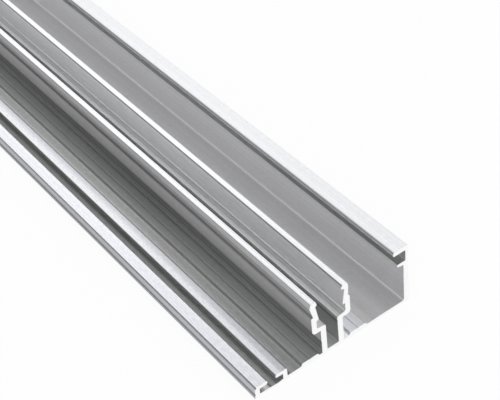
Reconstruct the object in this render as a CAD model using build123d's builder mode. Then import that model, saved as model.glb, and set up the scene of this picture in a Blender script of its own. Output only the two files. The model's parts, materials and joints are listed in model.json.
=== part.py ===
from build123d import *
import os

# Edge profile for multiwall roofing sheets: one extruded aluminium bar, cut square at both ends.
# Millimetres. The bar runs along Y and lies on its flat underside, at Z = 0.
# X runs from the gasket side (-X) to the closing wall (+X), and the origin is at the middle of
# the underside. In the section, across counts from the gasket side and up from the underside.

length = 2000.0
width = 60.0
base_t = 1.3            # floor plate
rise = 22.9             # floor to the level tops of the wall and of both legs
edge_r = 0.3            # long outer edges of the floor plate
foot_r = 0.25           # where a leg or a gasket rail meets the floor

# Gasket channel along the left edge, with two lips that hold the foot of a rubber bead
rail_h = 3.4            # floor to the top of the lips
rail_inset = 0.2        # the outer rail stands this far in from the plate's edge
rail_outer_t = 1.75
rail_inner_t = 1.6
channel_w = 8.65        # between the two rails
slot_w = 3.0            # opening between the two lips
slot_shift = 0.1        # the opening sits this far to the right of the channel's middle
lip_t = 1.4
lip_r = 0.55            # round noses of the lips
rail_edge_r = 0.5       # inner rail's top edge towards the pads
rebate_w = 0.6          # small step along the outer rail's top edge
rebate_h = 0.65
channel_drop = 0.2      # the channel's floor lies this much below the bays' floor
trough_w = 4.6          # shallow hollow in the channel's floor
trough_h = 0.3
trough_gap = 0.2        # the hollow ends this far short of the inner rail's rounded foot
guard_rib_w = 0.5       # fine rib on the floor beside the inner rail
guard_rib_h = 0.25
guard_rib_gap = 0.45    # inner rail to the rib

# Raised pads where the screws go through, each with a fine groove that guides the drill
pad_w = 5.9             # flat top
pad_h = 0.95
pad_bevel = 0.6         # run of the slanted side towards the gasket channel
pad_step = 0.65         # run of the steeper side towards the wall
left_pad_gap = 1.75     # left leg's outer foot to the pad's flat top
right_pad_gap = 2.6
guide_w = 0.5
guide_h = 0.35

# Click channel: two legs that hold the cover profile's feet, alike and mirrored about its middle
# up to their heads, which both stand off to the left
click_middle = 29.7
screw_gap = 4.4         # between the two stems
screw_floor_h = 0.3     # the floor between the stems lies this much above the bays' floor
stem_t = 2.0
pocket_w = 10.9         # between the two upper blades
blade_t = 1.85
shelf_low = 9.8         # floor to the underside of the shelf that widens the channel
shelf_t = 1.9           # at the blade
ledge_drop = 0.6        # how far the shelf's top falls towards the screw channel
shelf_r = 1.4           # rounded outer end of the shelf
ledge_r = 0.45          # rounded inner end of the shelf
pocket_r = 0.7
tooth_low = 14.8        # floor to the catching face of the lower tooth
hook_low = 21.0         # floor to the catching face of the hook
tooth_reach = 0.95      # how far tooth and hook stand out from the pocket's face
tooth_slant = 0.25
tooth_r = 0.12
notch_low = 17.0        # floor to the notch along each blade's outer face
notch_h = 0.5
notch_depth = 0.65
flare_drop = 1.6        # leg's top to the widest place of its flared head
head_shift = 0.3        # both heads stand this far to the left of their blades
top_slant = 0.4         # the head's top is this much narrower than the head, on either side
top_r = 0.4

# Closing wall, with a flange and a fin that form the upper gasket groove
wall_t = 1.9
wall_groove_t = 1.1     # what is left of the wall behind the groove
wall_foot_r = 0.6
flange_reach = 5.9      # wall's outer face to the flange's nose
flange_t = 1.8
flange_r = 0.8
flange_low_r = 0.4
groove_h = 4.3
groove_r = 0.35
fin_reach = 4.45
fin_tip_t = 0.95
fin_root_t = 1.5
fin_r = 0.35
wall_top_r = 0.4

# Levels and places that follow from the sizes above
top = base_t + rise
sunk = base_t / 2       # how deep each upright shape reaches into the floor plate
rail_top = base_t + rail_h
channel_low = base_t - channel_drop
channel_left = rail_inset + rail_outer_t
channel_right = channel_left + channel_w
rail_right = channel_right + rail_inner_t
slot_middle = (channel_left + channel_right) / 2 + slot_shift
stem_outer = screw_gap / 2 + stem_t
screw_low = base_t + screw_floor_h
left_pad = click_middle - stem_outer - left_pad_gap - pad_w
right_pad = click_middle + stem_outer + right_pad_gap
wall_inner = width - wall_t
groove_back = width - wall_groove_t
flange_low = top - flange_t
fin_top = flange_low - groove_h


def outline(corners, mode=Mode.ADD):
    """Fill a closed outline of corners, each given as across, up and the radius that rounds it."""
    with BuildLine() as edge:
        FilletPolyline(*[(across, up) for across, up, _ in corners],
                       radius=[corner_r for _, _, corner_r in corners], close=True)
    make_face(edge.edges(), mode=mode)


def rounded_corner(section, across, up, radius):
    """Round the section's corner that lies at one place."""
    fillet(section.vertices().sort_by_distance((across, up))[0], radius)


def groove(across, up, groove_w, groove_depth):
    """Cut a fine V into a level face."""
    outline([(across - groove_w / 2, up, 0), (across, up - groove_depth, 0),
             (across + groove_w / 2, up, 0), (across, up + groove_depth, 0)], Mode.SUBTRACT)


def pad(start):
    """Raise a flat pad with bevelled sides and its drill guide."""
    pad_top = base_t + pad_h
    outline([(start - pad_bevel, base_t, 0), (start - pad_bevel, sunk, 0),
             (start + pad_w + pad_step, sunk, 0), (start + pad_w + pad_step, base_t, 0),
             (start + pad_w, pad_top, 0), (start, pad_top, 0)])
    groove(start + pad_w / 2, pad_top, guide_w, guide_h)


def gasket_rails():
    """Add the two rails of the gasket channel, each with its inward lip."""
    lip_low = rail_top - lip_t
    outer_face = rail_inset + rebate_w
    left_nose = slot_middle - slot_w / 2
    right_nose = slot_middle + slot_w / 2
    outline([(rail_inset, sunk, 0), (channel_left, sunk, 0), (channel_left, lip_low, foot_r),
             (left_nose, lip_low, lip_r), (left_nose, rail_top, lip_r),
             (outer_face, rail_top, 0), (outer_face, rail_top - rebate_h, 0),
             (rail_inset, rail_top - rebate_h, 0)])
    outline([(channel_right, sunk, 0), (rail_right, sunk, 0), (rail_right, rail_top, rail_edge_r),
             (right_nose, rail_top, lip_r), (right_nose, lip_low, lip_r),
             (channel_right, lip_low, foot_r)])


def channel_floor():
    """Sink the gasket channel's floor and hollow it with one shallow arc."""
    outline([(channel_left, channel_low, 0), (channel_right, channel_low, 0),
             (channel_right, base_t, 0), (channel_left, base_t, 0)], Mode.SUBTRACT)
    trough_r = (trough_w ** 2 / 4 + trough_h ** 2) / (2 * trough_h)
    trough_middle = channel_right - foot_r - trough_gap - trough_w / 2
    with Locations((trough_middle, channel_low - trough_h + trough_r)):
        Circle(trough_r, mode=Mode.SUBTRACT)


def screw_floor():
    """Thicken the floor between the two stems, where fixing screws go through."""
    outline([(click_middle - stem_outer, sunk, 0), (click_middle + stem_outer, sunk, 0),
             (click_middle + stem_outer, base_t, 0), (click_middle + screw_gap / 2, screw_low, 0),
             (click_middle - screw_gap / 2, screw_low, 0), (click_middle - stem_outer, base_t, 0)])


def click_leg(side):
    """Add one leg of the click channel; side is -1 for the left leg and 1 for the right one."""
    pocket = pocket_w / 2
    blade = pocket + blade_t
    tip = pocket - tooth_reach
    lean = -side * head_shift
    tooth, hook = base_t + tooth_low, base_t + hook_low
    shelf, notch = base_t + shelf_low, base_t + notch_low
    corners = [
        (screw_gap / 2, sunk, 0),
        (screw_gap / 2, shelf + shelf_t - ledge_drop, ledge_r),
        (pocket, shelf + shelf_t, pocket_r),
        (pocket, tooth, 0),
        (tip, tooth + tooth_slant, tooth_r),
        (pocket, hook, 0),
        (tip + lean, hook + tooth_slant, tooth_r),
        (tip + lean + top_slant, top, top_r),
        (blade + lean - top_slant, top, top_r),
        (blade + lean, top - flare_drop, top_r),
        (blade - notch_depth, notch + notch_h, tooth_r),
        (blade - notch_depth, notch, 0),
        (blade, notch, tooth_r),
        (blade, shelf, shelf_r),
        (stem_outer, shelf, foot_r),
        (stem_outer, sunk, 0),
    ]
    outline([(click_middle + side * out, up, radius) for out, up, radius in corners])


def closing_wall():
    """Add the wall with its flange, the gasket groove below it and the fin."""
    flange_nose = width - flange_reach
    fin_nose = width - fin_reach
    outline([
        (wall_inner, sunk, 0),
        (width, sunk, 0),
        (width, top, wall_top_r),
        (flange_nose, top, flange_r),
        (flange_nose, flange_low, flange_low_r),
        (groove_back, flange_low, groove_r),
        (groove_back, fin_top, groove_r),
        (fin_nose, fin_top, fin_r),
        (fin_nose, fin_top - fin_tip_t, fin_r),
        (wall_inner, fin_top - fin_root_t, fin_r),
    ])


# The sketch's across starts at the gasket side's outer face
section_plane = Plane(origin=(-width / 2, 0, 0), x_dir=(1, 0, 0), z_dir=(0, -1, 0))

with BuildPart() as edge_profile:
    with BuildSketch(section_plane) as section:
        outline([(0, 0, edge_r), (width, 0, edge_r), (width, base_t, 0), (0, base_t, edge_r)])
        channel_floor()
        pad(left_pad)
        pad(right_pad)
        outline([(rail_right + guard_rib_gap, base_t, 0),
                 (rail_right + guard_rib_gap + guard_rib_w / 2, base_t + guard_rib_h, 0),
                 (rail_right + guard_rib_gap + guard_rib_w, base_t, 0),
                 (rail_right + guard_rib_gap + guard_rib_w / 2, sunk, 0)])
        gasket_rails()
        screw_floor()
        for side in (-1, 1):
            click_leg(side)
        closing_wall()
        rounded_corner(section, wall_inner, base_t, wall_foot_r)
        for side in (-1, 1):
            rounded_corner(section, click_middle + side * screw_gap / 2, screw_low, foot_r)
            rounded_corner(section, click_middle + side * stem_outer, base_t, foot_r)
        rounded_corner(section, channel_left, channel_low, foot_r)
        rounded_corner(section, channel_right, channel_low, foot_r)
    extrude(amount=length / 2, both=True)

edge_profile.part.label = "edge_profile"
os.makedirs("parts", exist_ok=True)
export_step(edge_profile.part, "parts/edge_profile.step")
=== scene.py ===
import json
import math

import bpy
import numpy as np
from bpy.props import FloatProperty, FloatVectorProperty, IntProperty, PointerProperty
from mathutils import Euler, Matrix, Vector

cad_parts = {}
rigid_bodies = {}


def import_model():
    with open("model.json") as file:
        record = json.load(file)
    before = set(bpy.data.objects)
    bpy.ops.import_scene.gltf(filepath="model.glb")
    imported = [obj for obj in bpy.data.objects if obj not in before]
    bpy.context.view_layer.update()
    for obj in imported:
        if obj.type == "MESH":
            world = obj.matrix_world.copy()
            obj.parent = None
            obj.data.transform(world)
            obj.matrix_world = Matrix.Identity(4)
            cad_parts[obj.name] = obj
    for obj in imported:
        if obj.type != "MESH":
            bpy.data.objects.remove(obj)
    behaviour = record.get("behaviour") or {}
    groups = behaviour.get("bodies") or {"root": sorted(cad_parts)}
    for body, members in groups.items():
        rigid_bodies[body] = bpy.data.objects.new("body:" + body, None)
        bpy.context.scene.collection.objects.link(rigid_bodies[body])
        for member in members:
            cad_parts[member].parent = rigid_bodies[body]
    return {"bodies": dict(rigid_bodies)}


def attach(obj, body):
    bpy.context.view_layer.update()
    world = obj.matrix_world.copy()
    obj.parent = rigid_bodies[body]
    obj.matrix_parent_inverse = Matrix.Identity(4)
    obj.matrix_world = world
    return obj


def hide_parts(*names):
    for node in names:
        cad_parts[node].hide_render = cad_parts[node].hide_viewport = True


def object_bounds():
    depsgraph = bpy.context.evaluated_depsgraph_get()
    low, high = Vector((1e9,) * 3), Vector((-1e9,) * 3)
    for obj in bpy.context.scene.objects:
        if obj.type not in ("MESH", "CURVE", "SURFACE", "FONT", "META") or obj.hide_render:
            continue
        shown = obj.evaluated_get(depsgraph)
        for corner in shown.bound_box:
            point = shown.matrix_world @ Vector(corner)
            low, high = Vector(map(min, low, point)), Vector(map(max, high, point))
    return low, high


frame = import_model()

bl_info = {
    "name": "Edge Profile Finish",
    "version": (1, 0, 0),
    "blender": (4, 5, 0),
    "location": "3D View > Sidebar > Edge Profile",
    "description": "Gives an extruded edge profile its mill finish and sets it in a plain studio",
    "category": "Object",
}

NODE, BODY, SLOT = "edge_profile", "root", "mill_aluminium"
CAD_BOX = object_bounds()
MM = 0.001
WHITE = (1.0, 1.0, 1.0, 1.0)
LINES_UV, BAKE_UV, TONE, TRIM = "DieLines", "OFBake", "painted_shade_tone", "end_shade_grain_matt"

# Baking square, in shares of its side: the free edge, the width and the height that the long faces
# fill, and right of them the two sawn ends: their start, size, middle, and step from one to other
BAKE_EDGE, BAKE_W, BAKE_H = 0.005, 0.925, 0.99
CAP_START, CAP_SIZE, CAP_MIDDLE, CAP_STEP = 0.942, 0.05, 0.08, 0.2

# Die lines: changes per metre across and along the bar, detail, and place in the noise
BROAD_LINES = (300.0, 0.5, 2.0, 3.1)
THIN_LINES = (1600.0, 0.8, 3.0, 7.7)
FINE_LINES = (3000.0, 1.5, 2.0, 5.2)
HAIRS = (3600.0, 500.0, 1.0, 1.3)
NOISE_LOW, NOISE_HIGH = 0.3, 0.7    # between these lies nearly every value of a noise
GRAIN = 0.07                        # fine lines and hairs each move the tone this far
MILL_ROUGHNESS = (0.30, 0.42)
LINE_DEPTH = 0.00001                # metres
BRUSHED = 0.5                       # how far the lines draw the gloss out

# Sawn ends: the blade's centre in the end's plane, arcs per metre, their darkest tone and depth
SAW_CENTRE = (0.06, 0.19, 0.0)
SAW_ARCS, ARC_DETAIL, ARC_TONE, ARC_DEPTH = 2600.0, 3.0, 0.98, 0.00002
SAWN_ROUGHNESS = (0.3, 0.4)

# Studio: how white the floor is to the camera and in the metal, and the direction's X and Y over
# which the sky goes from the shaded to the bright side, and from there to the front
FLOOR_SEEN, FLOOR_MIRRORED = 0.93, 0.93
SKY_X, SKY_Y = (-0.22, 0.2), (0.0, -0.4)

# Painted shade and light on the long faces, in steps of 0.05: each face is darker or lighter as its
# shade and reflections fall, with dark lines of painted shade in corners and pale lines of painted
# highlight on edges. Each row holds a face's box as across from, to, up from, to, the way its
# places run (0 across, 1 up), the tint of its painted shade, the painted change of tone towards a
# sawn end, how strong its grain is, how matt it is, and its places with their tones. Lengths are in
# mm, and across counts from the gasket side.
PLAIN, GREEN, COOL = (1.0, 1.0, 1.0), (0.985, 1.0, 0.98), (0.992, 1.0, 1.04)
PALE, ROSY, WARM = (0.995, 1.0, 1.015), (1.003, 0.996, 1.003), (1.005, 1.0, 0.97)
FACES = (
    # Gasket channel: outer face, rebate, left lip, floor, right lip's nose, right lip, inner rail
    ((-0.1, 0.7, 0.0, 4.1), 1, COOL, 0.2, 1.0, 1.0,
     ((0.2, 0.35), (1.25, 0.4), (1.6, 0.25), (1.9, 0.25), (2.4, 0.45), (4.0, 0.5))),
    ((0.1, 0.81, 4.04, 4.6), 0, COOL, 0.0, 1.0, 1.0, ((0.2, 0.6), (0.7, 0.45))),
    ((0.7, 5.0, 4.2, 4.8), 0, COOL, -0.2, 1.0, 0.9,
     ((0.9, 1.05), (1.4, 0.95), (2.0, 1.05), (2.9, 0.9), (3.9, 1.05))),
    ((1.9, 10.7, 0.5, 1.3), 0, GREEN, 0.15, 0.8, 1.0,
     ((2.0, 0.9), (3.4, 0.75), (6.0, 0.4), (6.3, 0.7), (6.6, 1.05), (7.4, 1.05), (7.8, 0.8),
      (9.1, 0.5))),
    ((7.5, 8.3, 3.2, 4.6), 1, GREEN, 0.1, 0.5, 1.0, ((3.9, 0.45), (4.4, 0.2), (4.6, 0.5))),
    ((8.1, 9.7, 4.1, 4.8), 0, COOL, -0.22, 1.0, 0.8, ((8.2, 1.05), (9.6, 1.05))),
    ((9.6, 12.3, 4.1, 4.8), 0, COOL, -0.32, 1.0, 0.8,
     ((9.6, 1.05), (10.1, 0.9), (10.6, 0.95), (11.0, 0.85), (11.8, 0.9), (12.1, 0.25))),
    # Screw bay: floor, pad's bevel, pad up to its groove and after it, floor beside the leg, stem,
    # shelf, blade, flared head, head's top
    ((12.1, 17.05, 1.2, 1.6), 0, ROSY, -0.34, 1.2, 1.0,
     ((13.75, 0.6), (14.1, 0.9), (14.6, 0.7), (16.2, 0.65), (16.7, 0.8))),
    ((17.03, 17.8, 1.3, 2.24), 0, GREEN, 0.1, 1.0, 1.0, ((17.1, 0.6), (17.3, 0.45), (17.7, 0.55))),
    ((17.6, 19.6, 1.8, 2.3), 0, GREEN, 0.0, 1.0, 1.0, ((17.7, 0.65), (18.2, 0.6), (19.5, 0.55))),
    ((19.5, 23.75, 1.8, 2.3), 0, GREEN, 0.16, 1.0, 1.0,
     ((19.5, 0.55), (20.3, 0.4), (20.6, 0.4), (20.9, 0.6), (21.2, 0.45), (23.3, 0.45),
      (23.7, 0.3))),
    ((23.6, 25.6, 1.2, 2.2), 0, GREEN, 0.22, 0.8, 1.0, ((24.0, 0.35), (25.4, 0.35))),
    ((25.3, 25.6, 1.5, 11.2), 1, GREEN, 0.22, 0.8, 1.0,
     ((1.6, 0.95), (3.0, 0.5), (4.0, 0.65), (6.0, 0.35), (6.6, 0.95))),
    ((22.3, 24.0, 11.0, 12.6), 1, WARM, 0.24, 0.5, 1.0, ((11.2, 0.9), (12.4, 0.4))),
    ((22.3, 23.2, 12.5, 18.35), 1, WARM, 0.36, 1.0, 1.0,
     ((12.5, 0.4), (13.2, 0.55), (17.4, 0.65), (18.2, 0.5))),
    ((22.0, 23.5, 18.25, 24.15), 1, PLAIN, 0.28, 1.0, 1.0,
     ((18.4, 0.35), (19.3, 0.65), (20.5, 0.75), (22.7, 0.55), (23.2, 0.35), (23.7, 0.5),
      (24.1, 0.35))),
    ((22.7, 25.2, 24.0, 24.3), 0, PALE, -0.12, 0.9, 1.0,
     ((22.7, 0.8), (22.8, 1.05), (24.0, 1.05), (24.6, 0.8))),
    # Click channel: floor, right stem, ledge, blade with its tooth, hook, hook's edge, head's top
    ((27.4, 32.0, 1.5, 2.0), 0, PLAIN, 0.0, 0.5, 1.0, ((27.5, 0.8), (31.9, 0.8))),
    ((31.7, 32.0, 1.9, 12.4), 1, GREEN, 0.0, 0.6, 1.0,
     ((2.0, 0.7), (9.5, 0.7), (10.5, 0.4), (10.8, 0.4), (11.2, 1.0))),
    ((31.95, 35.2, 12.2, 14.8), 0, PLAIN, 0.0, 0.7, 1.0,
     ((32.1, 0.9), (32.5, 0.8), (32.9, 0.95), (33.3, 0.7), (34.1, 0.9), (34.5, 0.7),
      (35.1, 1.05))),
    ((33.8, 35.2, 14.8, 22.4), 1, PLAIN, -0.12, 0.4, 2.1, ((15.0, 1.05), (22.0, 1.05))),
    ((33.8, 34.5, 22.3, 23.9), 1, PLAIN, -0.2, 0.4, 2.1, ((22.4, 1.05), (23.7, 1.05), (23.9, 0.7))),
    ((33.8, 34.42, 23.86, 24.15), 1, PLAIN, -0.15, 0.5, 1.0, ((23.9, 0.4), (24.1, 0.3))),
    ((34.4, 36.7, 24.0, 24.3), 0, PALE, -0.12, 0.7, 1.0, ((34.42, 0.5), (34.6, 1.05))),
    # Closed bay: right pad, floor, wall, fin, groove, flange's nose, flange's top, outer face
    ((35.8, 43.1, 1.2, 2.3), 0, COOL, 0.0, 0.6, 1.0, ((36.4, 1.05), (36.6, 0.8), (43.0, 0.85))),
    ((43.0, 58.2, 1.2, 1.55), 0, ROSY, 0.0, 0.6, 1.0,
     ((43.0, 0.85), (46.0, 0.9), (49.5, 1.05), (52.0, 0.9), (56.8, 0.7), (57.3, 0.75),
      (58.0, 1.05))),
    ((58.0, 58.2, 1.5, 17.4), 1, ROSY, -0.08, 0.5, 1.0, ((2.0, 1.05), (6.3, 1.0))),
    ((55.3, 59.0, 16.6, 18.2), 0, GREEN, -0.1, 0.4, 1.0, ((55.5, 1.0), (55.7, 0.85), (56.4, 1.05))),
    ((58.6, 59.1, 18.1, 22.5), 1, GREEN, -0.3, 1.0, 1.0, ((18.2, 0.9), (22.4, 0.8))),
    ((54.0, 54.6, 22.3, 24.1), 1, PLAIN, 0.0, 0.4, 1.0,
     ((22.6, 0.35), (22.9, 0.5), (23.25, 1.05), (23.55, 1.05), (23.75, 0.4), (24.0, 0.55))),
    ((54.4, 60.1, 23.9, 24.3), 0, PALE, -0.06, 0.6, 1.0,
     ((54.42, 0.7), (54.55, 1.05), (55.5, 0.95), (57.0, 0.95), (58.4, 0.9))),
    ((59.5, 60.1, 0.05, 23.8), 1, COOL, 0.0, 1.0, 1.0,
     ((0.3, 0.4), (1.5, 0.5), (20.0, 0.55), (23.6, 0.65))),
)


def size(name, default, text):
    """A length of the section, given in millimetres and kept in metres."""
    return FloatProperty(name=name, description=text, default=default * MM, min=0.0,
                         unit="LENGTH", precision=5)


class BasePlateSizes(bpy.types.PropertyGroup):
    """The flat plate with its two screw pads."""
    width: size("Width", 60.0, "Gasket side's outer face to the wall's outer face")
    base_t: size("Plate", 1.3, "Thickness of the floor plate")
    edge_r: size("Edge radius", 0.3, "Rounding of the plate's long outer edges")
    foot_r: size("Foot radius", 0.25, "Rounding where a leg or a rail meets the floor")
    pad_w: size("Pad width", 5.9, "Flat top of a raised screw pad")
    pad_h: size("Pad height", 0.95, "Floor to the pad's top")
    pad_bevel: size("Pad bevel", 0.6, "Run of the pad's slanted left side")
    pad_step: size("Pad step", 0.65, "Run of the pad's steeper right side")
    left_pad_gap: size("Left pad gap", 1.75, "Left leg's outer foot to the left pad's flat top")
    right_pad_gap: size("Right pad gap", 2.6, "Right leg's outer foot to the right pad's flat top")
    guide_w: size("Guide width", 0.5, "Fine groove that guides the drill")
    guide_h: size("Guide depth", 0.35, "Depth of the drill guide")


class GasketChannelSizes(bpy.types.PropertyGroup):
    """The channel along the left edge, with two lips that hold a rubber bead."""
    rail_h: size("Rail height", 3.4, "Floor to the top of the lips")
    rail_inset: size("Rail inset", 0.2, "Plate's edge to the outer rail")
    rail_outer_t: size("Outer rail", 1.75, "Thickness of the outer rail")
    rail_inner_t: size("Inner rail", 1.6, "Thickness of the inner rail")
    channel_w: size("Channel width", 8.65, "Clear width between the rails")
    channel_drop: size("Channel drop", 0.2, "Bays' floor down to the channel's floor")
    slot_w: size("Slot width", 3.0, "Opening between the two lips")
    slot_shift: size("Slot shift", 0.1, "Slot's middle right of the channel's middle")
    lip_t: size("Lip", 1.4, "Thickness of the lips")
    lip_r: size("Lip radius", 0.55, "Round noses of the lips")
    rail_edge_r: size("Rail edge radius", 0.5, "Inner rail's top edge towards the pads")
    rebate_w: size("Rebate width", 0.6, "Step along the outer rail's top edge")
    rebate_h: size("Rebate height", 0.65, "Height of that step")
    trough_w: size("Trough width", 4.6, "Shallow hollow in the channel's floor")
    trough_h: size("Trough depth", 0.3, "Depth of the hollow")
    trough_gap: size("Trough gap", 0.2, "Inner rail's rounded foot to the hollow")
    guard_rib_w: size("Rib width", 0.5, "Fine rib beside the inner rail")
    guard_rib_h: size("Rib height", 0.25, "Height of the rib")
    guard_rib_gap: size("Rib gap", 0.45, "Inner rail to the rib")


class ClickChannelSizes(bpy.types.PropertyGroup):
    """Two barbed legs, mirrored about the channel's middle up to their heads, which lean left."""
    rise: size("Rise", 22.9, "Floor to the level tops of the wall and of both legs")
    click_middle: size("Middle", 29.7, "Gasket side's outer face to the channel's middle")
    screw_gap: size("Screw gap", 4.4, "Between the two stems")
    screw_floor_h: size("Screw floor", 0.3, "Bays' floor up to the floor between the stems")
    stem_t: size("Stem", 2.0, "Thickness of a stem")
    pocket_w: size("Pocket width", 10.9, "Between the two upper blades")
    blade_t: size("Blade", 1.85, "Thickness of an upper blade")
    shelf_low: size("Shelf height", 9.8, "Floor to the shelf's underside")
    shelf_t: size("Shelf", 1.9, "Thickness of the shelf at the blade")
    ledge_drop: size("Ledge drop", 0.6, "How far the shelf's top falls towards the screws")
    shelf_r: size("Shelf radius", 1.4, "Rounded outer end of the shelf")
    ledge_r: size("Ledge radius", 0.45, "Rounded inner end of the shelf")
    pocket_r: size("Pocket radius", 0.7, "Rounding between shelf and blade")
    tooth_low: size("Tooth height", 14.8, "Floor to the lower tooth's catching face")
    hook_low: size("Hook height", 21.0, "Floor to the hook's catching face")
    tooth_reach: size("Tooth reach", 0.95, "How far tooth and hook stand out")
    tooth_slant: size("Tooth slant", 0.25, "Slant of the catching faces")
    tooth_r: size("Tooth radius", 0.12, "Rounding of tooth and hook")
    notch_low: size("Notch height", 17.0, "Floor to the notch in the outer face")
    notch_h: size("Notch", 0.5, "Height of the notch")
    notch_depth: size("Notch depth", 0.65, "Depth of the notch")
    flare_drop: size("Flare drop", 1.6, "Leg's top to the head's widest place")
    head_shift: size("Head shift", 0.3, "Both heads stand this far left of their blades")
    top_slant: size("Head slant", 0.4, "How much narrower the head's top is on either side")
    top_r: size("Head radius", 0.4, "Rounding of the head")


class ClosingWallSizes(bpy.types.PropertyGroup):
    """The tall wall with the flange and the fin that hold the upper gasket."""
    wall_t: size("Wall", 1.9, "Thickness of the wall")
    wall_groove_t: size("Wall at groove", 1.1, "What is left of the wall behind the groove")
    wall_foot_r: size("Wall foot radius", 0.6, "Rounding between floor and wall")
    wall_top_r: size("Wall top radius", 0.4, "Rounding of the wall's outer top edge")
    flange_reach: size("Flange reach", 5.9, "Wall's outer face to the flange's nose")
    flange_t: size("Flange", 1.8, "Thickness of the flange")
    flange_r: size("Flange radius", 0.8, "Rounded upper edge of the flange's nose")
    flange_low_r: size("Flange low radius", 0.4, "Rounded lower edge of the nose")
    groove_h: size("Groove height", 4.3, "Clear height between flange and fin")
    groove_r: size("Groove radius", 0.35, "Rounding in the groove's corners")
    fin_reach: size("Fin reach", 4.45, "Wall's outer face to the fin's nose")
    fin_tip_t: size("Fin tip", 0.95, "Thickness at the fin's nose")
    fin_root_t: size("Fin root", 1.5, "Thickness where the fin leaves the wall")
    fin_r: size("Fin radius", 0.35, "Rounding of the fin")


class FinishSettings(bpy.types.PropertyGroup):
    """Mesh fineness and the metal's colours."""
    arc_steps: IntProperty(name="Arc steps", description="Straight pieces in each rounded corner",
                           default=6, min=2, max=16)
    face_step: size("Face step", 0.2, "Longest piece of the contour")
    stations: IntProperty(name="Stations", description="Cross sections along the bar",
                          default=17, min=2, max=200)
    crisp_r: size("Crisp radius", 0.07, "Rounding of edges that the die leaves crisp")
    cut_bevel: size("Cut bevel", 0.05, "Fine bevel round the sawn ends")
    metal: FloatVectorProperty(name="Metal", description="Colour of the mill finish",
                               subtype="COLOR", default=(0.95, 0.952, 0.96), min=0, max=1)
    streak: FloatVectorProperty(name="Streak", description="Colour of the darker die lines",
                                subtype="COLOR", default=(0.88, 0.882, 0.89), min=0, max=1)
    # Strength of the painted shade and light on the faces
    painted_shade_strength: FloatProperty(name="Die tones", description="Strength of the tones that the die "
                             "leaves on the faces", default=1.0, min=0, max=1)
    # How far in from a sawn end the painted change of light and shade reaches
    end_reach: FloatProperty(name="End reach", description="How far the change of tone reaches in "
                             "from a sawn end", default=0.09, unit="LENGTH")
    cut: FloatVectorProperty(name="Cut", description="Colour of the freshly sawn ends",
                             subtype="COLOR", default=(1.0, 1.0, 1.0), min=0, max=1)


class StudioSettings(bpy.types.PropertyGroup):
    """Floor, light and camera."""
    floor_colour: FloatVectorProperty(name="Floor", description="Colour of the floor",
                                      subtype="COLOR", default=(0.92, 0.92, 0.92), min=0, max=1)
    floor_size: FloatProperty(name="Floor size", description="Side of the square floor",
                              default=30.0, unit="LENGTH")
    sky_high: FloatProperty(name="Bright side", description="Light from the far right",
                            default=1.12, min=0, max=2)
    sky_low: FloatProperty(name="Shaded side", description="Light from the far left",
                           default=0.6, min=0, max=2)
    sky_front: FloatProperty(name="Front", description="Light from in front of the near end",
                             default=1.03, min=0, max=2)
    lens: FloatProperty(name="Lens", description="Focal length on a 36 mm wide sensor",
                        default=93.895, unit="CAMERA")
    camera_place: FloatVectorProperty(name="Camera", description="Where the camera stands",
                                      subtype="TRANSLATION", unit="LENGTH",
                                      default=(-0.15502, -1.21078, 0.29889), precision=5)
    camera_turn: FloatVectorProperty(name="Camera turn", description="How the camera is turned",
                                     subtype="EULER", unit="ROTATION", precision=5,
                                     default=[math.radians(a) for a in (47.781, 5.3047, -36.8036)])


class EdgeProfileSettings(bpy.types.PropertyGroup):
    """Everything that a user would change."""
    plate: PointerProperty(type=BasePlateSizes)
    gasket: PointerProperty(type=GasketChannelSizes)
    click: PointerProperty(type=ClickChannelSizes)
    wall: PointerProperty(type=ClosingWallSizes)
    finish: PointerProperty(type=FinishSettings)
    studio: PointerProperty(type=StudioSettings)


def pad_corners(plate, start, crisp):
    """A raised pad seen from right to left: step, flat top with its V groove, bevel."""
    top, end = plate.base_t + plate.pad_h, start + plate.pad_w
    middle, half = start + plate.pad_w / 2, plate.guide_w / 2
    return [(end + plate.pad_step, plate.base_t, crisp), (end, top, crisp),
            (middle + half, top, crisp), (middle, top - plate.guide_h, crisp),
            (middle - half, top, crisp), (start, top, crisp),
            (start - plate.pad_bevel, plate.base_t, crisp)]


def leg_corners(plate, click, crisp, side):
    """One leg from its outer foot over the head to its inner foot; side is -1 left and 1 right.

    Across counts outwards from the channel's middle, and the head leans left by its shift.
    """
    lean = -side * click.head_shift
    base, top = plate.base_t, plate.base_t + click.rise
    stem_in = click.screw_gap / 2
    stem_out = stem_in + click.stem_t
    pocket = click.pocket_w / 2
    blade, tip = pocket + click.blade_t, pocket - click.tooth_reach
    shelf, notch = base + click.shelf_low, base + click.notch_low
    tooth, hook = base + click.tooth_low, base + click.hook_low
    rows = [(stem_out, base, plate.foot_r), (stem_out, shelf, plate.foot_r),
            (blade, shelf, click.shelf_r), (blade, notch, click.tooth_r),
            (blade - click.notch_depth, notch, crisp),
            (blade - click.notch_depth, notch + click.notch_h, click.tooth_r),
            (blade + lean, top - click.flare_drop, click.top_r),
            (blade + lean - click.top_slant, top, click.top_r),
            (tip + lean + click.top_slant, top, click.top_r),
            (tip + lean, hook + click.tooth_slant, click.tooth_r), (pocket, hook, crisp),
            (tip, tooth + click.tooth_slant, click.tooth_r), (pocket, tooth, crisp),
            (pocket, shelf + click.shelf_t, click.pocket_r),
            (stem_in, shelf + click.shelf_t - click.ledge_drop, click.ledge_r),
            (stem_in, base + click.screw_floor_h, plate.foot_r)]
    return [(click.click_middle + side * out, up, radius) for out, up, radius in rows]


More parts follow.
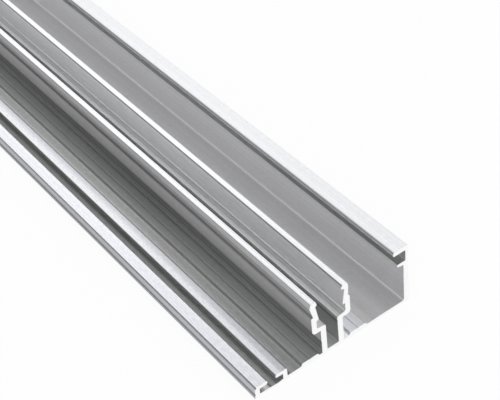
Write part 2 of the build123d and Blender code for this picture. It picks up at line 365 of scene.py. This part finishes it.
def gasket_corners(plate, gasket, crisp):
    """The gasket channel from the fine rib on the floor to the plate's left edge."""
    base = plate.base_t
    rail_top, low = base + gasket.rail_h, base - gasket.channel_drop
    lip_low = rail_top - gasket.lip_t
    left = gasket.rail_inset + gasket.rail_outer_t
    right = left + gasket.channel_w
    rail_right = right + gasket.rail_inner_t
    slot = (left + right) / 2 + gasket.slot_shift
    nose_left, nose_right = slot - gasket.slot_w / 2, slot + gasket.slot_w / 2
    outer = gasket.rail_inset + gasket.rebate_w
    rib = rail_right + gasket.guard_rib_gap
    # The hollow is one arc: its two ends' tangents meet below its middle, and its radius is a hair
    # smaller than theirs, so that it ends just short of its corners
    short = 0.97
    half = gasket.trough_w / 2
    trough_r = (half ** 2 + gasket.trough_h ** 2) / (2 * gasket.trough_h)
    slope = half / (trough_r - gasket.trough_h)
    middle = right - plate.foot_r - gasket.trough_gap - half
    # The plate's upper edge is only as round as the ledge beside the rail leaves room for
    ledge = gasket.rail_inset - 1.2 * crisp
    return [(rib + gasket.guard_rib_w, base, crisp),
            (rib + gasket.guard_rib_w / 2, base + gasket.guard_rib_h, crisp), (rib, base, crisp),
            (rail_right, base, crisp), (rail_right, rail_top, gasket.rail_edge_r),
            (nose_right, rail_top, gasket.lip_r), (nose_right, lip_low, gasket.lip_r),
            (right, lip_low, plate.foot_r), (right, low, plate.foot_r),
            (middle + half, low, crisp), (middle, low - half * slope, short * trough_r),
            (middle - half, low, crisp), (left, low, plate.foot_r), (left, lip_low, plate.foot_r),
            (nose_left, lip_low, gasket.lip_r), (nose_left, rail_top, gasket.lip_r),
            (outer, rail_top, crisp), (outer, rail_top - gasket.rebate_h, crisp),
            (gasket.rail_inset, rail_top - gasket.rebate_h, crisp),
            (gasket.rail_inset, base, crisp),
            (0.0, base, min(plate.edge_r, ledge))]


def wall_corners(plate, click, wall):
    """The closing wall from the plate's right edge over the flange, groove and fin to the floor."""
    width, top = plate.width, plate.base_t + click.rise
    flange_low = top - wall.flange_t
    fin_top = flange_low - wall.groove_h
    nose, fin_nose = width - wall.flange_reach, width - wall.fin_reach
    back, inner = width - wall.wall_groove_t, width - wall.wall_t
    return [(width, 0.0, plate.edge_r), (width, top, wall.wall_top_r), (nose, top, wall.flange_r),
            (nose, flange_low, wall.flange_low_r), (back, flange_low, wall.groove_r),
            (back, fin_top, wall.groove_r), (fin_nose, fin_top, wall.fin_r),
            (fin_nose, fin_top - wall.fin_tip_t, wall.fin_r),
            (inner, fin_top - wall.fin_root_t, wall.fin_r), (inner, plate.base_t, wall.wall_foot_r)]


def section_corners(settings):
    """All corners of the section, anticlockwise from the plate's lower left, in metres."""
    plate, gasket = settings.plate, settings.gasket
    click, wall = settings.click, settings.wall
    crisp = settings.finish.crisp_r
    stem_out = click.screw_gap / 2 + click.stem_t
    right_pad = click.click_middle + stem_out + plate.right_pad_gap
    left_pad = click.click_middle - stem_out - plate.left_pad_gap - plate.pad_w
    rows = ([(0.0, 0.0, plate.edge_r)] + wall_corners(plate, click, wall)
            + pad_corners(plate, right_pad, crisp) + leg_corners(plate, click, crisp, 1)
            + leg_corners(plate, click, crisp, -1)[::-1]
            + pad_corners(plate, left_pad, crisp) + gasket_corners(plate, gasket, crisp))
    return np.array(rows)


def painted_shade_and_finish(contour, strength):
    """Painted shade and light in red, green and blue, the painted change at the ends, grain and
    mattness, point by point.

    A point inside a face's box gets the face's values, and its tone lies on the straight lines
    between the face's places. Where boxes overlap, the later one counts, and every other point
    keeps the full tone.
    """
    place = contour / MM
    tone = np.ones((len(place), 3))
    trim = np.tile((0.0, 0.5, 1.0), (len(place), 1))
    for (left, right, low, high), way, tint, change, grain, matt, steps in FACES:
        inside = ((place[:, 0] > left) & (place[:, 0] < right)
                  & (place[:, 1] > low) & (place[:, 1] < high))
        at, value = np.transpose(steps)
        level = np.interp(place[inside, way], at, value)
        tone[inside] = level[:, None] * np.array(tint)
        trim[inside] = change, grain, matt
    return 1 + strength * (tone - 1), trim


def finer_contour(contour, outward, step):
    """Cut every piece of the contour into equal parts no longer than the step."""
    run = np.roll(contour, -1, 0) - contour
    turn = np.roll(outward, -1, 0) - outward
    parts = np.maximum(1, np.ceil(np.linalg.norm(run, axis=1) / step)).astype(int)
    which = np.repeat(np.arange(len(contour)), parts)
    share = ((np.arange(len(which)) - (np.cumsum(parts) - parts)[which]) / parts[which])[:, None]
    normals = outward[which] + turn[which] * share
    return (contour[which] + run[which] * share,
            normals / np.linalg.norm(normals, axis=1, keepdims=True))


def rounded_contour(corners, steps):
    """Round every corner of a closed outline, and give each point its outward normal.

    The arc begins on the incoming side, at radius times the tangent of half the turn before the
    corner, and each further point is the first one turned about the arc's centre by an equal share
    of the turn. The outward normal is the incoming side's right-hand normal, turned by the same
    share, so flat sides stay flat and arcs run smoothly into them.
    """
    place, radius = corners[:, :2], corners[:, 2]
    run_in = place - np.roll(place, 1, 0)
    run_in /= np.linalg.norm(run_in, axis=1, keepdims=True)
    run_out = np.roll(run_in, -1, 0)
    turn = np.arctan2(run_in[:, 0] * run_out[:, 1] - run_in[:, 1] * run_out[:, 0],
                      (run_in * run_out).sum(1))
    start = place - run_in * (radius * np.tan(np.abs(turn) / 2))[:, None]
    outward = np.stack([run_in[:, 1], -run_in[:, 0]], 1)
    centre = start - outward * (radius * np.sign(turn))[:, None]
    share = turn[:, None] * np.linspace(0, 1, steps + 1)
    cos, sin = np.cos(share), np.sin(share)
    normals = np.stack([outward[:, :1] * cos - outward[:, 1:] * sin,
                        outward[:, :1] * sin + outward[:, 1:] * cos], 2)
    points = centre[:, None] + normals * (radius * np.sign(turn))[:, None, None]
    return points.reshape(-1, 2), normals.reshape(-1, 2)


def quad_grid(count, rows):
    """For every long quad: its point, the next point round the contour, and its station."""
    point, station = np.meshgrid(np.arange(count), np.arange(rows - 1))
    return point, (point + 1) % count, station


def bar_mesh(settings):
    """The contour carried along Y, closed at both ends.

    Point (i, j) is contour point i at station j. The two outermost stations lie on the ends, with
    the contour drawn in along its normals by the cut's bevel, and the next ones lie that bevel
    further in, with the full contour.
    """
    finish = settings.finish
    contour, outward = rounded_contour(section_corners(settings), finish.arc_steps)
    contour, outward = finer_contour(contour, outward, finish.face_step)
    tone, trim = painted_shade_and_finish(contour, finish.painted_shade_strength)
    contour = contour - (settings.plate.width / 2, 0.0)
    low, high = CAD_BOX[0].y, CAD_BOX[1].y
    bevel = finish.cut_bevel
    along = np.concatenate([[low], np.linspace(low + bevel, high - bevel, finish.stations), [high]])
    inset = np.zeros(len(along))
    inset[[0, -1]] = bevel
    count, rows = len(contour), len(along)
    flat = contour[None] - outward[None] * inset[:, None, None]
    verts = np.empty((rows, count, 3))
    verts[..., 0], verts[..., 1], verts[..., 2] = flat[..., 0], along[:, None], flat[..., 1]
    i, nxt, j = quad_grid(count, rows)
    quads = np.stack([j * count + i, (j + 1) * count + i,
                      (j + 1) * count + nxt, j * count + nxt], 2).reshape(-1, 4)
    near, far = np.arange(count), np.arange(count)[::-1] + (rows - 1) * count
    look = np.tile(np.hstack([tone, trim]), (rows, 1))
    return verts.reshape(-1, 3), quads, near, far, contour, outward, along, look


def add_layer(mesh, name, kind, field, values):
    """Keep one row of values for each point of the mesh."""
    layer = mesh.attributes.new(name, kind, "POINT").data
    layer.foreach_set(field, values.astype(np.float32).ravel())


def add_map(mesh, name, places):
    """Keep one place of a flat map for each face corner of the mesh."""
    mesh.uv_layers.new(name=name).uv.foreach_set("vector", places.astype(np.float32).ravel())


def flat_maps(contour, along, near, far):
    """Lay the surface out flat, once in metres and once for baking.

    In metres a long face's corner lies at the contour's length up to it and at its place along
    the bar, and an end's corner at its own across and up. For baking, the long faces fill the left
    93 % of the square, and the two ends stand to their right, turned by a quarter.
    """
    count, rows = len(contour), len(along)
    i, _, j = quad_grid(count, rows)
    step = np.linalg.norm(np.roll(contour, -1, 0) - contour, axis=1)
    girth = np.concatenate([[0.0], np.cumsum(step)])
    # Corner order of a quad: this point, this point one station on, next point one on, next point
    u = np.stack([girth[i], girth[i], girth[i + 1], girth[i + 1]], 2)
    v = np.stack([along[j], along[j + 1], along[j + 1], along[j]], 2)
    caps = np.concatenate([contour[near], contour[far - (rows - 1) * count]])
    in_metres = np.concatenate([np.stack([u, v], 3).reshape(-1, 2), caps])
    length = along[-1] - along[0]
    side = np.stack([BAKE_EDGE + BAKE_W * u / girth[-1],
                     BAKE_EDGE + BAKE_H * (v - along[0]) / length], 3)
    scale = CAP_SIZE / (CAD_BOX[1].z - CAD_BOX[0].z)
    ends = np.stack([CAP_START + scale * caps[:, 1], CAP_MIDDLE + scale * caps[:, 0]], 1)
    ends[count:, 1] += CAP_STEP
    return in_metres, np.concatenate([side.reshape(-1, 2), ends])


def exact_normals(outward, rows):
    """The contour's own normals on the long faces, leaning out at the bevels, and flat ends."""
    count = len(outward)
    i, nxt, j = quad_grid(count, rows)
    across = np.stack([outward[i], outward[i], outward[nxt], outward[nxt]], 2).reshape(-1, 2)
    lean = np.where(j == 0, -1.0, np.where(j == rows - 2, 1.0, 0.0))
    side = np.stack([across[:, 0], np.repeat(lean.ravel(), 4), across[:, 1]], 1)
    ends = np.zeros((2 * count, 3))
    ends[:count, 1], ends[count:, 1] = -1.0, 1.0
    normals = np.concatenate([side, ends])
    return normals / np.linalg.norm(normals, axis=1, keepdims=True)


def fill_mesh(name, settings):
    """Make the bar's mesh with its painted shade and light, its flat maps and exact normals."""
    verts, quads, near, far, contour, outward, along, look = bar_mesh(settings)
    count = len(contour)
    mesh = bpy.data.meshes.new(name)
    loops = np.concatenate([quads.ravel(), near, far]).astype(np.int32)
    sizes = np.concatenate([np.full(len(quads), 4), [count, count]]).astype(np.int32)
    mesh.vertices.add(len(verts))
    mesh.vertices.foreach_set("co", verts.astype(np.float32).ravel())
    mesh.loops.add(len(loops))
    mesh.loops.foreach_set("vertex_index", loops)
    mesh.polygons.add(len(sizes))
    mesh.polygons.foreach_set("loop_start", (np.cumsum(sizes) - sizes).astype(np.int32))
    material = np.zeros(len(sizes), np.int32)
    material[-2:] = 1
    mesh.polygons.foreach_set("material_index", material)
    mesh.update(calc_edges=True)
    add_layer(mesh, TONE, "FLOAT_COLOR", "color", np.hstack([look[:, :3], np.ones((len(look), 1))]))
    add_layer(mesh, TRIM, "FLOAT_VECTOR", "vector", look[:, 3:])
    in_metres, for_baking = flat_maps(contour, along, near, far)
    add_map(mesh, LINES_UV, in_metres)
    add_map(mesh, BAKE_UV, for_baking)
    mesh.polygons.foreach_set("use_smooth", np.ones(len(sizes), bool))
    mesh.normals_split_custom_set(exact_normals(outward, len(along)).astype(np.float32))
    mesh.validate(verbose=True)
    return mesh


def add_node(tree, kind, settings=None, **inputs):
    """Add a shader node, set its own settings, and set or link its inputs by name or number."""
    made = tree.nodes.new(kind)
    for key, value in (settings or {}).items():
        setattr(made, key, value)
    for key, value in inputs.items():
        socket = made.inputs[int(key[1:])] if key[0] == "_" else made.inputs[key.replace("_", " ")]
        if isinstance(value, bpy.types.NodeSocket):
            tree.links.new(value, socket)
        else:
            socket.default_value = value
    return made


def new_material(name):
    """A material with an empty tree, its Principled shader and its tree."""
    material = bpy.data.materials.new(name)
    material.use_nodes = True
    tree = material.node_tree
    tree.nodes.clear()
    shader = add_node(tree, "ShaderNodeBsdfPrincipled")
    add_node(tree, "ShaderNodeOutputMaterial", Surface=shader.outputs["BSDF"])
    return material, tree, shader


def streaks(tree, where, across, along, detail, seed):
    """Noise drawn out along the bar: so many changes per metre across and along.

    The seed moves the noise to a place of its own.
    """
    mapped = add_node(tree, "ShaderNodeMapping", Vector=where, Scale=(across, along, 1.0),
                      Location=(seed, seed * 0.37, 0.0))
    noise = add_node(tree, "ShaderNodeTexNoise", {"noise_dimensions": "2D"},
                     Vector=mapped.outputs[0], Scale=1.0, Detail=detail, Roughness=0.6)
    return noise.outputs["Fac"]


def to_range(tree, value, low, high, first, last):
    """Carry a value from one range over to another, and hold it inside."""
    return add_node(tree, "ShaderNodeMapRange", None, Value=value, From_Min=low, From_Max=high,
                    To_Min=first, To_Max=last).outputs[0]


def spread(tree, noise, first, last):
    """Carry nearly all of a noise's values over to a range."""
    return to_range(tree, noise, NOISE_LOW, NOISE_HIGH, first, last)


def joined(tree, kind, first, second):
    """Two values in one by a sum or a product."""
    return add_node(tree, "ShaderNodeMath", {"operation": kind}, _0=first, _1=second).outputs[0]


def mill_finish(finish):
    """Bare extruded aluminium: die lines along the bar in colour, roughness and relief, and each
    face's painted shade and light in its colour.
    """
    material, tree, shader = new_material("mill_aluminium")
    where = add_node(tree, "ShaderNodeUVMap", {"uv_map": LINES_UV}).outputs[0]
    trim = add_node(tree, "ShaderNodeAttribute", {"attribute_name": TRIM}).outputs["Vector"]
    change, grain, matt = add_node(tree, "ShaderNodeSeparateXYZ", None, Vector=trim).outputs
    broad = streaks(tree, where, *BROAD_LINES)
    lines = streaks(tree, where, *THIN_LINES)
    fine = streaks(tree, where, *FINE_LINES)
    hairs = streaks(tree, where, *HAIRS)
    pattern = joined(tree, "ADD", spread(tree, broad, 0.0, 0.45), spread(tree, lines, 0.0, 0.55))
    colour = add_node(tree, "ShaderNodeMix", {"data_type": "RGBA"}, _0=pattern,
                      _6=(*finish.streak, 1.0), _7=(*finish.metal, 1.0))
    # Grain: fine lines and short hairs on either side of the face's painted shade tone
    level = joined(tree, "ADD", spread(tree, fine, -GRAIN, GRAIN),
                   spread(tree, hairs, -GRAIN, GRAIN))
    level = joined(tree, "MULTIPLY", grain, level)
    # Towards an end the painted shade and light changes by the face's share; along is the map's
    # second direction
    along = add_node(tree, "ShaderNodeSeparateXYZ", None, Vector=where).outputs["Y"]
    along = add_node(tree, "ShaderNodeMath", {"operation": "ABSOLUTE"}, _0=along).outputs[0]
    end = (CAD_BOX[1].y - CAD_BOX[0].y) / 2
    near = to_range(tree, along, end - finish.end_reach, end, 0.0, 1.0)
    level = joined(tree, "ADD", level, joined(tree, "MULTIPLY", change, near))
    level = joined(tree, "ADD", level, 1.0)
    # Each face's painted shade and light, kept on the mesh
    tone = add_node(tree, "ShaderNodeAttribute", {"attribute_name": TONE}).outputs["Color"]
    toned = add_node(tree, "ShaderNodeVectorMath", {"operation": "MULTIPLY"},
                     _0=colour.outputs[2], _1=tone)
    toned = add_node(tree, "ShaderNodeVectorMath", {"operation": "SCALE"}, _0=toned.outputs[0],
                     Scale=level)
    tree.links.new(toned.outputs[0], shader.inputs["Base Color"])
    dull = joined(tree, "MULTIPLY", matt, spread(tree, lines, *MILL_ROUGHNESS))
    tree.links.new(dull, shader.inputs["Roughness"])
    relief = joined(tree, "ADD", to_range(tree, broad, 0.0, 1.0, 0.0, 0.5),
                    to_range(tree, lines, 0.0, 1.0, 0.0, 0.25))
    bump = add_node(tree, "ShaderNodeBump", None, Strength=1.0, Distance=LINE_DEPTH,
                    Height=relief)
    tree.links.new(bump.outputs[0], shader.inputs["Normal"])
    tangent = add_node(tree, "ShaderNodeTangent", {"direction_type": "UV_MAP", "uv_map": LINES_UV})
    tree.links.new(tangent.outputs[0], shader.inputs["Tangent"])
    shader.inputs["Metallic"].default_value = 1.0
    shader.inputs["Anisotropic"].default_value = BRUSHED
    return material


def sawn_finish(finish):
    """Freshly sawn metal: brighter than the long faces, with faint arcs from the saw's teeth."""
    material, tree, shader = new_material("sawn_aluminium")
    where = add_node(tree, "ShaderNodeTexCoord").outputs["Object"]
    parts = add_node(tree, "ShaderNodeSeparateXYZ", None, Vector=where)
    flat = add_node(tree, "ShaderNodeCombineXYZ", None, X=parts.outputs["X"], Y=parts.outputs["Z"])
    centre = add_node(tree, "ShaderNodeVectorMath", {"operation": "DISTANCE"},
                      _0=flat.outputs[0], _1=SAW_CENTRE)
    arcs = add_node(tree, "ShaderNodeTexNoise", {"noise_dimensions": "1D"},
                    W=centre.outputs["Value"], Scale=SAW_ARCS, Detail=ARC_DETAIL)
    colour = add_node(tree, "ShaderNodeMix", {"data_type": "RGBA"},
                      _0=to_range(tree, arcs.outputs["Fac"], 0.35, 0.65, 0.7, 1.0),
                      _6=(*[c * ARC_TONE for c in finish.cut], 1.0), _7=(*finish.cut, 1.0))
    tree.links.new(colour.outputs[2], shader.inputs["Base Color"])
    tree.links.new(spread(tree, arcs.outputs["Fac"], *SAWN_ROUGHNESS), shader.inputs["Roughness"])
    bump = add_node(tree, "ShaderNodeBump", None, Strength=0.6, Distance=ARC_DEPTH,
                    Height=arcs.outputs["Fac"])
    tree.links.new(bump.outputs[0], shader.inputs["Normal"])
    shader.inputs["Metallic"].default_value = 1.0
    return material


def floor_finish(studio):
    """Pale floor that shows nearly white to the camera and keeps a soft shadow."""
    material, tree, shader = new_material("pale_floor")
    shader.inputs["Base Color"].default_value = (*studio.floor_colour, 1.0)
    shader.inputs["Roughness"].default_value = 0.9
    shader.inputs["Specular IOR Level"].default_value = 0.0
    path = add_node(tree, "ShaderNodeLightPath")
    glow = add_node(tree, "ShaderNodeEmission", None, Color=WHITE, Strength=1.0)
    share = joined(tree, "ADD",
                   joined(tree, "MULTIPLY", path.outputs["Is Camera Ray"], FLOOR_SEEN),
                   joined(tree, "MULTIPLY", path.outputs["Is Glossy Ray"], FLOOR_MIRRORED))
    mixed = add_node(tree, "ShaderNodeMixShader", None, _0=share, _1=shader.outputs[0],
                     _2=glow.outputs[0])
    output = next(n for n in tree.nodes if n.type == "OUTPUT_MATERIAL")
    tree.links.new(mixed.outputs[0], output.inputs["Surface"])
    return material


def sky(studio):
    """White to the camera; to the metal bright on the right and in front, shaded on the left.

    The level rises from the shaded side's to the bright side's as the direction's X runs through
    its range, and goes over to the front's as its Y does.
    """
    world = bpy.data.worlds.new("studio")
    bpy.context.scene.world = world
    world.use_nodes = True
    tree = world.node_tree
    tree.nodes.clear()
    path = add_node(tree, "ShaderNodeLightPath")
    way = add_node(tree, "ShaderNodeTexCoord").outputs["Generated"]
    parts = add_node(tree, "ShaderNodeSeparateXYZ", None, Vector=way)
    level = to_range(tree, parts.outputs["X"], *SKY_X, studio.sky_low, studio.sky_high)
    level = to_range(tree, parts.outputs["Y"], *SKY_Y, level, studio.sky_front)
    strength = add_node(tree, "ShaderNodeMix", {"data_type": "FLOAT"},
                        _0=path.outputs["Is Camera Ray"], _2=level, _3=1.0)
    glow = add_node(tree, "ShaderNodeBackground", None, Color=WHITE, Strength=strength.outputs[0])
    add_node(tree, "ShaderNodeOutputWorld", None, Surface=glow.outputs[0])


class EDGEPROFILE_OT_dress_bar(bpy.types.Operator):
    """Build the bar's fine surface with its mill finish and its sawn ends"""
    bl_idname = "edge_profile.dress_bar"
    bl_label = "Dress the Bar"
    bl_options = {"REGISTER", "UNDO"}

    def execute(self, context):
        settings = context.scene.edge_profile
        bar = bpy.data.objects.new("profile_bar", fill_mesh("profile_bar", settings))
        context.scene.collection.objects.link(bar)
        bar.data.materials.append(mill_finish(settings.finish))
        bar.data.materials.append(sawn_finish(settings.finish))
        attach(bar, BODY if BODY in frame["bodies"] else next(iter(frame["bodies"])))
        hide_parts(NODE)
        return {"FINISHED"}


class EDGEPROFILE_OT_set_stage(bpy.types.Operator):
    """Set the pale floor, the soft light and the camera"""
    bl_idname = "edge_profile.set_stage"
    bl_label = "Set the Stage"
    bl_options = {"REGISTER", "UNDO"}

    def execute(self, context):
        studio = context.scene.edge_profile.studio
        half = studio.floor_size / 2
        mesh = bpy.data.meshes.new("studio_floor")
        corner = np.array([(-1, -1, 0), (1, -1, 0), (1, 1, 0), (-1, 1, 0)]) * half
        mesh.from_pydata(corner.tolist(), [], [(0, 1, 2, 3)])
        mesh.materials.append(floor_finish(studio))
        floor = bpy.data.objects.new("studio_floor", mesh)
        context.scene.collection.objects.link(floor)
        sky(studio)
        view = bpy.data.cameras.new("camera")
        view.sensor_width, view.lens = 36.0, studio.lens
        view.clip_start, view.clip_end = 0.01, 100.0
        camera = bpy.data.objects.new("camera", view)
        camera.matrix_world = (Matrix.Translation(studio.camera_place)
                               @ Euler(studio.camera_turn).to_matrix().to_4x4())
        context.scene.collection.objects.link(camera)
        context.scene.camera = camera
        context.scene.view_settings.view_transform = "Standard"
        return {"FINISHED"}


class EDGEPROFILE_PT_panel(bpy.types.Panel):
    """Lists the steps and their settings"""
    bl_idname = "EDGEPROFILE_PT_panel"
    bl_label = "Edge Profile"
    bl_space_type = "VIEW_3D"
    bl_region_type = "UI"
    bl_category = "Edge Profile"

    def draw(self, context):
        settings = context.scene.edge_profile
        for operator in (EDGEPROFILE_OT_dress_bar, EDGEPROFILE_OT_set_stage):
            self.layout.operator(operator.bl_idname)
        for name in ("plate", "gasket", "click", "wall", "finish", "studio"):
            box = self.layout.box()
            box.label(text=name.capitalize())
            group = getattr(settings, name)
            for key in group.__annotations__:
                box.prop(group, key)


CLASSES = (BasePlateSizes, GasketChannelSizes, ClickChannelSizes, ClosingWallSizes,
           FinishSettings, StudioSettings, EdgeProfileSettings,
           EDGEPROFILE_OT_dress_bar, EDGEPROFILE_OT_set_stage, EDGEPROFILE_PT_panel)


def register():
    for cls in CLASSES:
        bpy.utils.register_class(cls)
    bpy.types.Scene.edge_profile = PointerProperty(type=EdgeProfileSettings)


def unregister():
    del bpy.types.Scene.edge_profile
    for cls in reversed(CLASSES):
        bpy.utils.unregister_class(cls)


def main():
    """Register, dress the bar and set the stage."""
    register()
    bpy.ops.edge_profile.dress_bar()
    bpy.ops.edge_profile.set_stage()


if __name__ == "__main__":
    main()
